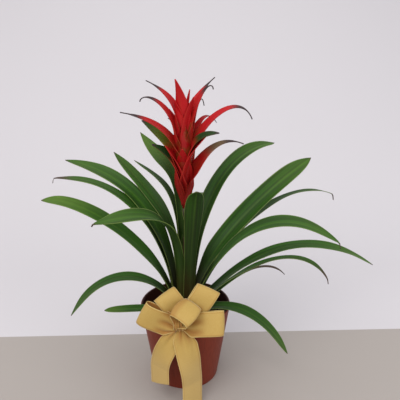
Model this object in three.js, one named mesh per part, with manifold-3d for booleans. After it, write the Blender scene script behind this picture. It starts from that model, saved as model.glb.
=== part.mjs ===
// Potted bromeliad: a guzmania with one red flower head, in a plain round pot with a ribbon bow.
// Millimetres, +Z up. The origin is the centre of the pot's base, and the bow is on the -Y side.
// An azimuth is in degrees about the pot's axis, from +X towards +Y.
// Every leaf and bract is a thin blade along an arc in the upright plane of its azimuth. The arc
// starts upright at its root, climbs by "rise", and ends at "reach" from the axis and "tip" above
// the base, where it arrives at the slope "arrive", shaped by the length "sweep".

import * as THREE from "three";
import { mergeVertices } from "three/addons/utils/BufferGeometryUtils.js";
import Module from "manifold-3d";

const wasm = await Module();
wasm.setup();

// Gap between pieces that touch
const GAP = 0.3;

// Pot, a plain tapered round one with a rounded rim
const POT = { height: 132, rim: 75, base: 54.5, wall: 3.5, floor: 5, edge: 1.2, sides: 40 };

// Soil, slightly heaped towards the plant
const SOIL = { top: 112, heap: 3, seatDepth: 10 };

// Sheaths of the leaves, nested in rings from the outside inwards
const SHEATH = { outer: 23.8, pitch: 1.3, halfAngle: 36 };
const LEAF = {
  stations: 11, strips: 4, crowd: 1.15, thick: 0.9, thickTip: 0.7, tipHalf: 0.7, openOver: 44,
  rolled: [0.15, 0.6],
};

// Leaves from the lowest, outermost one to the innermost, with the width of the blade, the radius
// of its channel, its roll towards a side and its sway, the azimuth that it gains up to the tip
const LEAVES = [
  { azimuth: 340, reach: 174, tip: 68, rise: 3, sweep: 133, arrive: -59, width: 21, roll: 10 },
  { azimuth: 199, reach: 135, tip: 144, rise: 14, sweep: 15, arrive: 4, width: 13, roll: -10 },
  { azimuth: 96, reach: 190, tip: 150, rise: 24, sweep: 120, arrive: -50, width: 22, roll: 0 },
  { azimuth: 356, reach: 163, tip: 185, rise: 3, sweep: 73, arrive: -50, width: 9, roll: 5 },
  { azimuth: 4, reach: 323, tip: 183, rise: 9, sweep: 219, arrive: -35, width: 22, roll: 15 },
  { azimuth: 336, reach: 227, tip: 216, rise: 24, sweep: 103, arrive: -62, width: 18, roll: 10 },
  { azimuth: 186, reach: 188, tip: 121, rise: 54, sweep: 136, arrive: -59, width: 20, roll: -15 },
  { azimuth: 80, reach: 215, tip: 255, rise: 42, sweep: 130, arrive: -30, width: 24, roll: 0 },
  { azimuth: 24, reach: 310, tip: 273, rise: 60, sweep: 168, arrive: -31, width: 22, roll: 5 },
  { azimuth: 344, reach: 239, tip: 261, rise: 32, sweep: 186, arrive: -36, width: 23, roll: 20 },
  { azimuth: 180, reach: 221, tip: 313, rise: 96, sweep: 75, arrive: -7, width: 22, roll: -25 },
  { azimuth: 21, reach: 234, tip: 358, rise: 102, sweep: 88, arrive: 27, width: 32, roll: 40 },
  { azimuth: 293, reach: 91, tip: 351, rise: 95, sweep: 50, arrive: 24, width: 27, roll: 0, sway: -12 },
  { azimuth: 174, reach: 210, tip: 341, rise: 100, sweep: 143, arrive: -7, width: 17, roll: -10 },
  { azimuth: 162, reach: 205, tip: 362, rise: 122, sweep: 146, arrive: 6, width: 25, roll: -25 },
  { azimuth: 38, reach: 206, tip: 373, rise: 75, sweep: 176, arrive: -10, width: 27, roll: 12, channel: 17 },
  { azimuth: 245, reach: 155, tip: 305, rise: 95, sweep: 142, arrive: -12, width: 25, roll: -20, sway: -30 },
  { azimuth: 95, reach: 130, tip: 325, rise: 130, sweep: 95, arrive: 5, width: 22, roll: 0 },
  { azimuth: 150, reach: 133, tip: 374, rise: 158, sweep: 149, arrive: 41, width: 25, roll: -25 },
  { azimuth: 85, reach: 118, tip: 380, rise: 175, sweep: 115, arrive: 30, width: 24, roll: 0 },
  { azimuth: 145, reach: 99, tip: 362, rise: 215, sweep: 94, arrive: 23, width: 17, roll: 0 },
  { azimuth: 136, reach: 98, tip: 406, rise: 276, sweep: 112, arrive: 40, width: 24, roll: -20 },
];
const CHANNEL = 30;

// Stalk below the flower head, with the small leaves that clasp it
const STALK = { radius: 4.6, sides: 10 };
const CLASPS = { count: 5, lowest: 130, step: 30, turn: 137.5, length: 62, reach: 8.2, width: 13 };

// Flower head: its spindle-shaped core of packed bract bases and flower buds, which swells from the
// stalk and closes at the top, and its bracts from the bottom to the top
const HEAD = { foot: 298, top: 458, radius: 4, swell: 8.5, sides: 12, rings: 9, rootRadius: 3.6, thick: 0.9 };
const BRACT = { stations: 7, strips: 2, crowd: 0.9, tipHalf: 0.75, thickTip: 0.7, rolled: [0, 0.4] };
const BRACTS = [
  { azimuth: 263, root: 303, reach: 20, tip: 396, rise: 45, sweep: 35, arrive: 64, width: 33 },
  { azimuth: 190, root: 305, reach: 48, tip: 401, rise: 48, sweep: 48, arrive: 24, width: 32, roll: -40 },
  { azimuth: 350, root: 309, reach: 90, tip: 402, rise: 22, sweep: 70, arrive: -27, width: 31, roll: 42 },
  { azimuth: 72, root: 312, reach: 72, tip: 404, rise: 40, sweep: 50, arrive: 0, width: 25 },
  { azimuth: 210, root: 314, reach: 31, tip: 400, rise: 40, sweep: 40, arrive: 50, width: 34, roll: -35 },
  { azimuth: 172, root: 322, reach: 63, tip: 434, rise: 58, sweep: 65, arrive: 32, width: 33, roll: -42 },
  { azimuth: 328, root: 318, reach: 60, tip: 421, rise: 62, sweep: 48, arrive: 2, width: 30, roll: 35 },
  { azimuth: 322, root: 316, reach: 42, tip: 413, rise: 48, sweep: 42, arrive: 38, width: 35, roll: 35 },
  { azimuth: 112, root: 340, reach: 66, tip: 430, rise: 45, sweep: 55, arrive: 5, width: 24 },
  { azimuth: 352, root: 345, reach: 101, tip: 438, rise: 81, sweep: 55, arrive: -68, width: 25, roll: 40 },
  { azimuth: 200, root: 343, reach: 94, tip: 451, rise: 30, sweep: 88, arrive: 11, width: 26, roll: -35 },
  { azimuth: 276, root: 336, reach: 20, tip: 496, rise: 85, sweep: 44, arrive: 66, width: 29, sway: -50 },
  { azimuth: 36, root: 360, reach: 64, tip: 428, rise: 24, sweep: 58, arrive: -55, width: 21, roll: 20 },
  { azimuth: 195, root: 365, reach: 64, tip: 464, rise: 100, sweep: 18, arrive: -80, width: 24, roll: -40 },
  { azimuth: 125, root: 368, reach: 38, tip: 448, rise: 45, sweep: 40, arrive: 45, width: 20 },
  { azimuth: 318, root: 372, reach: 20, tip: 470, rise: 40, sweep: 35, arrive: 66, width: 20 },
  { azimuth: 50, root: 378, reach: 50, tip: 452, rise: 47, sweep: 38, arrive: -80, width: 20, roll: 20 },
  { azimuth: 350, root: 386, reach: 44, tip: 480, rise: 70, sweep: 22, arrive: -85, width: 23, roll: 45 },
  { azimuth: 175, root: 395, reach: 54, tip: 492, rise: 45, sweep: 50, arrive: 24, width: 20, roll: -30 },
  { azimuth: 30, root: 398, reach: 55, tip: 495, rise: 31, sweep: 58, arrive: 34, width: 19, roll: 20 },
  { azimuth: 90, root: 404, reach: 32, tip: 474, rise: 35, sweep: 35, arrive: 50, width: 18 },
  { azimuth: 215, root: 402, reach: 16, tip: 466, rise: 42, sweep: 30, arrive: 66, width: 16 },
  { azimuth: 330, root: 408, reach: 11, tip: 480, rise: 30, sweep: 25, arrive: 78, width: 11 },
];

// Ribbon bow: the waist stands before the rim, its loops fan out from it and two tails hang down.
// Its plane leans back over the pot. In the bow's frame x is right, y is up in that plane and z is
// out of it. Each loop has the places of its root and its fold, the direction of the ribbon's width,
// the height that it stands open and how far its edges sink at the fold. Each tail has its shift to
// the side, the height of its end, its twist, its bulge, how far its end swings back and how far its
// cut slants.
const RIBBON = { width: 36.5, thick: 0.8, waistWidth: 13, pinch: 0.28, dome: 1 };
const BOW = { x: -7, y: -88, z: 147, lean: 32, knot: 7 };
const LOOPS = [
  { root: [6, 4, 0], fold: [-26, 44, 4], across: [-0.81, -0.58, 0.12], height: 15 },
  { root: [-6, -9, 0], fold: [-59, 18, 8], across: [-0.46, -0.76, -0.46], height: 21 },
  { root: [8, 0, 0], fold: [43, 51, 5], across: [-0.91, 0.41, 0.12], height: 16 },
  { root: [0, -3, 0], fold: [64.5, -1, 5], across: [0.03, 1, 0.1], height: 17 },
  { root: [4, 2, 0], fold: [8, 19, 29], across: [-0.6, -0.68, 0.42], height: 35, dome: 4 },
];
const TAILS = [
  { shift: -34, end: 38, twist: -38, bulge: 5, swing: 3, slant: -11 },
  { shift: 16.5, end: 4, twist: 34, bulge: 8, swing: -9, slant: 0 },
];

// Wire that holds the bow: out of the back of the waist, over the rim and down into the soil
const WIRE = { radius: 0.6, sides: 6, steps: 24, below: 3, end: -63, foot: 92 };

const radians = THREE.MathUtils.degToRad;
const smooth = (value, from, to) => THREE.MathUtils.smoothstep(value, from, to);
const mix = THREE.MathUtils.lerp;

// A closed geometry as a solid that can be joined and cut
function toSolid(geometry) {
  const bare = geometry.clone();
  bare.deleteAttribute("normal");
  bare.deleteAttribute("uv");
  const merged = mergeVertices(bare, 1e-4);
  return new wasm.Manifold(new wasm.Mesh({
    numProp: 3,
    vertProperties: new Float32Array(merged.attributes.position.array),
    triVerts: new Uint32Array(merged.index.array),
  }));
}

// A solid back as a geometry
function toGeometry(solid) {
  const mesh = solid.getMesh();
  const geometry = new THREE.BufferGeometry();
  geometry.setAttribute("position", new THREE.BufferAttribute(new Float32Array(mesh.vertProperties), 3));
  geometry.setIndex(new THREE.BufferAttribute(new Uint32Array(mesh.triVerts), 1));
  geometry.computeVertexNormals();
  return geometry;
}

// The largest body of a solid, without loose scraps and with the hollows sealed inside it filled
function mainBody(solid) {
  const bodies = solid.decompose();
  bodies.sort((one, other) => other.volume() - one.volume());
  return toGeometry(bodies[0]);
}

function fuse(geometries) {
  return mainBody(wasm.Manifold.union(geometries.map(toSolid)));
}

function cut(geometry, tools) {
  let solid = toSolid(geometry);
  for (const tool of tools) {
    solid = solid.subtract(toSolid(tool));
  }
  return mainBody(solid);
}

// A sheet of even make about a grid of points, grid[row][column], with both faces split alike.
// Its front looks along (next row) x (next column).
function sheetSolid(grid, thicknessAt) {
  const rows = grid.length;
  const columns = grid[0].length;
  const positions = [];
  for (const side of [1, -1]) {
    for (let i = 0; i < rows; i++) {
      for (let j = 0; j < columns; j++) {
        const along = grid[Math.min(i + 1, rows - 1)][j].clone().sub(grid[Math.max(i - 1, 0)][j]);
        const across = grid[i][Math.min(j + 1, columns - 1)].clone().sub(grid[i][Math.max(j - 1, 0)]);
        const normal = along.cross(across).normalize();
        const offset = side * thicknessAt(i / (rows - 1)) / 2;
        positions.push(...grid[i][j].clone().addScaledVector(normal, offset));
      }
    }
  }
  const front = (i, j) => i * columns + j;
  const back = (i, j) => rows * columns + front(i, j);
  const faces = [];
  const quad = (a, b, c, d) => faces.push(a, b, c, a, c, d);
  for (let i = 0; i + 1 < rows; i++) {
    for (let j = 0; j + 1 < columns; j++) {
      quad(front(i, j), front(i + 1, j), front(i + 1, j + 1), front(i, j + 1));
      faces.push(back(i, j), back(i + 1, j + 1), back(i + 1, j));
      faces.push(back(i, j), back(i, j + 1), back(i + 1, j + 1));
    }
    quad(front(i, 0), back(i, 0), back(i + 1, 0), front(i + 1, 0));
    quad(front(i, columns - 1), front(i + 1, columns - 1), back(i + 1, columns - 1), back(i, columns - 1));
  }
  for (let j = 0; j + 1 < columns; j++) {
    quad(front(0, j), front(0, j + 1), back(0, j + 1), back(0, j));
    quad(front(rows - 1, j), back(rows - 1, j), back(rows - 1, j + 1), front(rows - 1, j + 1));
  }
  const geometry = new THREE.BufferGeometry();
  geometry.setAttribute("position", new THREE.BufferAttribute(new Float32Array(positions), 3));
  geometry.setIndex(faces);
  geometry.computeVertexNormals();
  return geometry;
}

// The arc of a blade in the upright plane of its azimuth, after a straight length at its root
function bladeArc(blade, rootRadius, rootHeight, straight = 0) {
  const slope = radians(blade.arrive);
  const leaving = rootHeight + straight;
  const arc = new THREE.CubicBezierCurve(
    new THREE.Vector2(rootRadius, leaving),
    new THREE.Vector2(rootRadius, leaving + blade.rise),
    new THREE.Vector2(blade.reach - blade.sweep * Math.cos(slope), blade.tip - blade.sweep * Math.sin(slope)),
    new THREE.Vector2(blade.reach, blade.tip),
  );
  if (straight === 0) {
    return arc;
  }
  const path = new THREE.CurvePath();
  const foot = new THREE.Vector2(rootRadius, rootHeight);
  path.add(new THREE.LineCurve(foot, new THREE.Vector2(rootRadius, leaving)));
  path.add(arc);
  return path;
}

// The middle surface of a blade: at each station across the arc, an arch of the given half width
// and radius, hollow on the side towards the axis
function bladeGrid(blade, arc, { stations, strips, crowd, rolled }, halfWidthAt, curlAt, straight = 0) {
  const leaving = straight / arc.getLength();
  const stops = straight > 0 ? [0] : [];
  for (let i = 0; i <= stations; i++) {
    stops.push(mix(leaving, 1, Math.pow(i / stations, crowd)));
  }
  const grid = [];
  for (const along of stops) {
    const point = arc.getPointAt(along);
    const slope = arc.getTangentAt(along);
    const azimuth = radians(blade.azimuth + (blade.sway ?? 0) * along * along);
    const outward = new THREE.Vector3(Math.cos(azimuth), Math.sin(azimuth), 0);
    const tangent = outward.clone().multiplyScalar(slope.x);
    tangent.z = slope.y;
    const inner = outward.clone().multiplyScalar(-slope.y);
    inner.z = slope.x;
    const side = new THREE.Vector3(-Math.sin(azimuth), Math.cos(azimuth), 0);
    const roll = radians(blade.roll ?? 0) * smooth(along, ...rolled);
    inner.applyAxisAngle(tangent, roll);
    side.applyAxisAngle(tangent, roll);
    const curl = curlAt(along, point.x);
    const halfWidth = halfWidthAt(along, point.x);
    const row = [];
    for (let j = 0; j <= strips; j++) {
      const angle = (2 * j / strips - 1) * halfWidth / curl;
      const place = outward.clone().multiplyScalar(point.x);
      place.z = point.y;
      place.addScaledVector(side, curl * Math.sin(angle));
      place.addScaledVector(inner, curl * (1 - Math.cos(angle)));
      row.push(place);
    }
    grid.push(row);
  }
  return grid;
}

// The ring of each leaf: one further in than every leaf below it whose sheath it overlaps
function ringsOf(leaves) {
  const rings = [];
  leaves.forEach((leaf, index) => {
    let ring = 0;
    for (let lower = 0; lower < index; lower++) {
      const turn = Math.abs(leaf.azimuth - leaves[lower].azimuth) % 360;
      if (Math.min(turn, 360 - turn) < 2 * SHEATH.halfAngle) {
        ring = Math.max(ring, rings[lower] + 1);
      }
    }
    rings.push(ring);
  });
  return rings;
}

function leafGeometry(leaf, ring) {
  const radius = SHEATH.outer - ring * SHEATH.pitch;
  const straight = SOIL.seatDepth + SOIL.heap + 1;
  const arc = bladeArc(leaf, radius, SOIL.top - SOIL.seatDepth, straight);
  const sheathHalf = radius * radians(SHEATH.halfAngle) - LEAF.tipHalf - GAP / 2;
  const channel = leaf.channel ?? CHANNEL;
  const halfWidthAt = (along, out) => {
    const open = smooth(out, radius, radius + LEAF.openOver);
    const taper = 1 - Math.pow(Math.max(0, along - 0.55) / 0.45, 2.8);
    return mix(sheathHalf, leaf.width / 2, open) * taper + LEAF.tipHalf;
  };
  const curlAt = (along, out) => mix(radius, channel, smooth(out, radius, radius + LEAF.openOver));
  const grid = bladeGrid(leaf, arc, LEAF, halfWidthAt, curlAt, straight);
  return sheetSolid(grid, (along) => mix(LEAF.thick, LEAF.thickTip, along));
}

// A bract: narrow where it grows from the stalk, widest at a third of its length, then drawn out
function bractGeometry(bract, rootRadius, thick) {
  const arc = bladeArc(bract, rootRadius, bract.root);
  const halfWidthAt = (along) => {
    const swell = mix(0.45, 1, smooth(along, 0, 0.3));
    const taper = 1 - Math.pow(Math.max(0, along - 0.3) / 0.7, 1.3);
    return bract.width / 2 * swell * taper + BRACT.tipHalf;
  };
  const curlAt = (along) => mix(rootRadius + 4, 13, smooth(along, 0, 0.6));
  const grid = bladeGrid(bract, arc, BRACT, halfWidthAt, curlAt);
  return sheetSolid(grid, (along) => mix(thick, BRACT.thickTip, along));
}

function potGeometry() {
  const slope = (POT.rim - POT.base) / POT.height;
  const outside = (height) => POT.base + slope * height;
  const inside = (height) => outside(height) - POT.wall;
  const profile = [
    new THREE.Vector2(0, 0),
    new THREE.Vector2(POT.base - POT.edge, 0),
    new THREE.Vector2(outside(POT.edge), POT.edge),
    new THREE.Vector2(outside(POT.height - POT.edge), POT.height - POT.edge),
    new THREE.Vector2(outside(POT.height) - POT.edge * 0.4, POT.height - POT.edge * 0.3),
    new THREE.Vector2(outside(POT.height) - POT.edge, POT.height),
    new THREE.Vector2(inside(POT.height) + POT.edge, POT.height),
    new THREE.Vector2(inside(POT.height - POT.edge), POT.height - POT.edge),
    new THREE.Vector2(inside(POT.floor), POT.floor),
    new THREE.Vector2(0, POT.floor),
  ];
  return new THREE.LatheGeometry(profile, POT.sides).rotateX(Math.PI / 2);
}

// A round bar along +Z, from the lower to the upper height
function bar(radius, lower, upper, sides, x = 0, y = 0) {
  const shape = new THREE.CylinderGeometry(radius, radius, upper - lower, sides);
  return shape.rotateX(Math.PI / 2).translate(x, y, (lower + upper) / 2);
}

function soilGeometry() {
  const slope = (POT.rim - POT.base) / POT.height;
  const edge = (height) => POT.base + slope * height - POT.wall - GAP;
  const seat = SHEATH.outer + LEAF.thick / 2 + GAP;
  const profile = [
    new THREE.Vector2(0, POT.floor + GAP),
    new THREE.Vector2(edge(POT.floor + GAP), POT.floor + GAP),
    new THREE.Vector2(edge(SOIL.top), SOIL.top),
  ];
  const steps = 3;
  for (let step = 1; step <= steps; step++) {
    const radius = mix(edge(SOIL.top), seat, step / steps);
    profile.push(new THREE.Vector2(radius, SOIL.top + SOIL.heap * smooth(step / steps, 0, 1)));
  }
  profile.push(new THREE.Vector2(0, SOIL.top + SOIL.heap));
  const body = new THREE.LatheGeometry(profile, POT.sides).rotateX(Math.PI / 2);
  const seatFloor = SOIL.top - SOIL.seatDepth - GAP;
  const plantHole = bar(seat, seatFloor, SOIL.top + 2 * SOIL.heap, 36);
  const wireHole = bar(WIRE.radius + GAP, WIRE.foot - GAP, SOIL.top + 2 * SOIL.heap, 8, BOW.x, WIRE.end);
  return cut(body, [plantHole, wireHole]);
}

function stemGeometry() {
  const pieces = [bar(STALK.radius, SOIL.top - SOIL.seatDepth, HEAD.foot - GAP, STALK.sides)];
  for (let index = 0; index < CLASPS.count; index++) {
    const root = CLASPS.lowest + index * CLASPS.step;
    pieces.push(bractGeometry({
      azimuth: 40 + index * CLASPS.turn,
      root,
      reach: CLASPS.reach,
      tip: Math.min(root + CLASPS.length, HEAD.foot - 3),
      rise: CLASPS.length / 3,
      sweep: CLASPS.length / 3,
      arrive: 84,
      width: CLASPS.width,
    }, STALK.radius - 1, HEAD.thick));
  }
  return fuse(pieces);
}

function coreGeometry() {
  const profile = [new THREE.Vector2(0, HEAD.foot)];
  for (let ring = 0; ring < HEAD.rings; ring++) {
    const climb = ring / HEAD.rings;
    const radius = HEAD.radius * Math.sqrt(1 - climb) + HEAD.swell * Math.pow(Math.sin(Math.PI * climb), 1.2);
    profile.push(new THREE.Vector2(radius, mix(HEAD.foot, HEAD.top, climb)));
  }
  profile.push(new THREE.Vector2(0, HEAD.top));
  return new THREE.LatheGeometry(profile, HEAD.sides).rotateX(Math.PI / 2);
}

function headGeometry() {
  const core = coreGeometry();
  const bracts = BRACTS.map((bract) => bractGeometry(bract, HEAD.rootRadius, HEAD.thick));
  return fuse([core, ...bracts]);
}

// The frame of the bow: x to the right, y up in its leaning plane, z out of it towards the front
function bowFrame() {
  const lean = radians(BOW.lean);
  const frame = new THREE.Matrix4().makeBasis(
    new THREE.Vector3(1, 0, 0),
    new THREE.Vector3(0, Math.sin(lean), Math.cos(lean)),
    new THREE.Vector3(0, -Math.cos(lean), Math.sin(lean)),
  );
  return frame.setPosition(BOW.x, BOW.y, BOW.z);
}

// A loop of ribbon, pinched at the waist: out over the top, round the fold and back underneath
function loopGeometry(loop) {
  const steps = 10;
  const strips = 2;
  const root = new THREE.Vector3(...loop.root);
  const span = new THREE.Vector3(...loop.fold).sub(root);
  const out = span.clone().normalize();
  const across = new THREE.Vector3(...loop.across).normalize();
  const up = out.clone().cross(across).normalize();
  const grid = [];
  for (let i = 0; i <= steps; i++) {
    const turn = Math.PI * (2 * i / steps - 1);
    const reach = Math.pow(Math.cos(turn / 2), 0.8);
    const open = -Math.sin(turn) * Math.pow(Math.cos(turn / 2), 0.5) * loop.height / 2 * 1.2;
    const half = mix(RIBBON.waistWidth, RIBBON.width, smooth(reach, 0, RIBBON.pinch)) / 2;
    const row = [];
    for (let j = 0; j <= strips; j++) {
      const side = 2 * j / strips - 1;
      const sunk = (loop.dome ?? RIBBON.dome) * side * side * reach;
      const place = root.clone().addScaledVector(span, reach);
      place.addScaledVector(across, side * half);
      place.addScaledVector(out, -sunk);
      place.addScaledVector(up, open + Math.sin(turn) * sunk);
      row.push(place);
    }
    grid.push(row);
  }
  return sheetSolid(grid, () => RIBBON.thick).applyMatrix4(bowFrame());
}

// A tail that falls from the waist and hangs before the pot, with a slanted end
function tailGeometry(tail) {
  const steps = 9;
  const strips = 2;
  const grid = [];
  for (let i = 0; i <= steps; i++) {
    const along = i / steps;
    const height = mix(BOW.z - 3, tail.end, along);
    const middle = BOW.x + tail.shift * Math.sin(Math.PI / 2 * Math.min(1, along * 1.3));
    const bulge = tail.bulge * Math.sin(Math.PI * Math.min(1, along * 1.4));
    const forward = BOW.y - bulge + tail.swing * along;
    const half = mix(RIBBON.waistWidth, RIBBON.width, smooth(along, 0, 0.2)) / 2;
    const twist = radians(tail.twist) * smooth(along, 0.1, 0.6);
    const row = [];
    for (let j = 0; j <= strips; j++) {
      const across = 2 * j / strips - 1;
      const drop = i === steps ? tail.slant * across / 2 : 0;
      row.push(new THREE.Vector3(
        middle + across * half * Math.cos(twist),
        forward + across * half * Math.sin(twist) - 1.5 * (1 - across * across),
        height - drop,
      ));
    }
    grid.push(row);
  }
  return sheetSolid(grid, () => RIBBON.thick);
}

function bowGeometry() {
  const knot = new THREE.SphereGeometry(BOW.knot, 12, 8).translate(BOW.x, BOW.y, BOW.z);
  const joined = fuse([knot, ...LOOPS.map(loopGeometry), ...TAILS.map(tailGeometry)]);
  const length = 2 * BOW.knot;
  const hole = new THREE.CylinderGeometry(WIRE.radius + GAP, WIRE.radius + GAP, length, WIRE.sides);
  hole.translate(BOW.x, BOW.y + length / 2, BOW.z - WIRE.below);
  return cut(joined, [hole]);
}

function wireGeometry() {
  const height = BOW.z - WIRE.below;
  const place = (y, z) => new THREE.Vector3(BOW.x, y, z);
  const path = new THREE.CatmullRomCurve3([
    place(BOW.y + GAP, height),
    place(BOW.y + 4, height),
    place(BOW.y + 8, height),
    place(BOW.y + 13, height - 1.5),
    place(BOW.y + 19, height - 6),
    place(WIRE.end - 1, height - 15),
    place(WIRE.end, SOIL.top + 8),
    place(WIRE.end, SOIL.top + 1),
    place(WIRE.end, WIRE.foot + 8),
    place(WIRE.end, WIRE.foot),
  ], false, "centripetal");
  const section = new THREE.Shape();
  for (let corner = 0; corner < WIRE.sides; corner++) {
    const turn = 2 * Math.PI * corner / WIRE.sides;
    const point = [WIRE.radius * Math.cos(turn), WIRE.radius * Math.sin(turn)];
    if (corner === 0) {
      section.moveTo(...point);
    } else {
      section.lineTo(...point);
    }
  }
  return new THREE.ExtrudeGeometry(section, { steps: WIRE.steps, bevelEnabled: false, extrudePath: path });
}

function finish(color, roughness, metalness = 0) {
  return new THREE.MeshStandardMaterial({ color, roughness, metalness });
}

const group = new THREE.Group();

function addNode(name, geometry, material) {
  const mesh = new THREE.Mesh(geometry, material);
  mesh.name = name;
  group.add(mesh);
}

addNode("pot", potGeometry(), finish(0x6e3527, 0.45));
addNode("soil", soilGeometry(), finish(0x2a1c14, 0.95));
addNode("flower_stem", stemGeometry(), finish(0x4a6a24, 0.5));
addNode("flower_head", headGeometry(), finish(0xb01e20, 0.45));
const rings = ringsOf(LEAVES);
LEAVES.forEach((leaf, index) => {
  const name = `leaf_${String(index + 1).padStart(2, "0")}`;
  addNode(name, leafGeometry(leaf, rings[index]), finish(0x2f6a24, 0.4));
});
addNode("ribbon_bow", bowGeometry(), finish(0xc9a85f, 0.7));
addNode("bow_wire", wireGeometry(), finish(0x3c4a30, 0.5, 0.3));

export default group;
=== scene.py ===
"""Looks of a potted bromeliad with a ribbon bow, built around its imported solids.

Sizes are in millimetres, as in the part, and each finished mesh is scaled to metres.
"""
import logging
import math
from bisect import bisect_right
from collections.abc import Callable
from dataclasses import dataclass, field
from enum import Enum
from functools import partial
from typing import Any

import bmesh
import bpy
from mathutils import Matrix, Vector, noise


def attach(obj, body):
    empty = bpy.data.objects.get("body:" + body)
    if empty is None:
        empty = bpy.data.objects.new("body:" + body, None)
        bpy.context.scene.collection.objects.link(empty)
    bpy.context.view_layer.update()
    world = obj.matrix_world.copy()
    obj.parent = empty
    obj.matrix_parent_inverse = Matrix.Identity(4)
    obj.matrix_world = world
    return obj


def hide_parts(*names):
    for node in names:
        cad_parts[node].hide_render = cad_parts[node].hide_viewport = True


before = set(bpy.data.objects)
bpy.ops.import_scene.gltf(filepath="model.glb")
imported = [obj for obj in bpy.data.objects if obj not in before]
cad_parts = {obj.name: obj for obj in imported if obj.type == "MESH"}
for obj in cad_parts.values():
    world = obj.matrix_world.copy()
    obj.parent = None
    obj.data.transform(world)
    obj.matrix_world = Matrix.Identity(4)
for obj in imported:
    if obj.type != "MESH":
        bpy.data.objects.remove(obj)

LOG = logging.getLogger("bromeliad")
METRE = 0.001
BODY = "root"
GOLDEN_TURN = math.radians(137.508)
Colour = tuple[float, float, float]


def mix(low: float, high: float, share: float) -> float:
    """Return the value at a share of the way from low to high."""
    return low + (high - low) * share


def smooth(value: float, start: float, end: float) -> float:
    """Return 0 below start, 1 above end and a smooth step between."""
    share = min(1.0, max(0.0, (value - start) / (end - start)))
    return share * share * (3 - 2 * share)


def linear(red: int, green: int, blue: int) -> Colour:
    """Return a screen colour of 0 to 255 as the linear colour that shaders take."""
    def channel(value: int) -> float:
        """Return one channel as a linear value."""
        part = value / 255
        return part / 12.92 if part <= 0.04045 else ((part + 0.055) / 1.055) ** 2.4
    return channel(red), channel(green), channel(blue)


class Signal:
    """A node's output that Python arithmetic turns into Math nodes."""

    def __init__(self, graph: "Graph", socket: bpy.types.NodeSocket) -> None:
        """Wrap a socket.

        Args:
            graph: The graph that the socket's node is in.
            socket: The output to wrap.
        """
        self.graph = graph
        self.socket = socket

    def _math(self, operation: str, *values: Any) -> "Signal":
        """Return the result of a Math node on the given values."""
        node = self.graph.add("ShaderNodeMath", {"operation": operation}, dict(enumerate(values)))
        return Signal(self.graph, node.outputs[0])

    def __add__(self, other: Any) -> "Signal":
        """Return the sum."""
        return self._math("ADD", self, other)

    __radd__ = __add__

    def __sub__(self, other: Any) -> "Signal":
        """Return the difference."""
        return self._math("SUBTRACT", self, other)

    def __rsub__(self, other: Any) -> "Signal":
        """Return the difference from a number."""
        return self._math("SUBTRACT", other, self)

    def __mul__(self, other: Any) -> "Signal":
        """Return the product."""
        return self._math("MULTIPLY", self, other)

    __rmul__ = __mul__

    def __pow__(self, exponent: float) -> "Signal":
        """Return the power."""
        return self._math("POWER", self, exponent)

    def __abs__(self) -> "Signal":
        """Return the absolute value."""
        return self._math("ABSOLUTE", self)

    def sine(self) -> "Signal":
        """Return the sine."""
        return self._math("SINE", self)

    def step(self, start: float, end: float) -> "Signal":
        """Return a smooth step from 0 at start to 1 at end.

        Args:
            start: The value where the step leaves 0.
            end: The value where it reaches 1.

        Returns:
            The step as a signal.
        """
        node = self.graph.add(
            "ShaderNodeMapRange", {"interpolation_type": "SMOOTHSTEP"}, {0: self, 1: start, 2: end})
        return Signal(self.graph, node.outputs[0])


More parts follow.
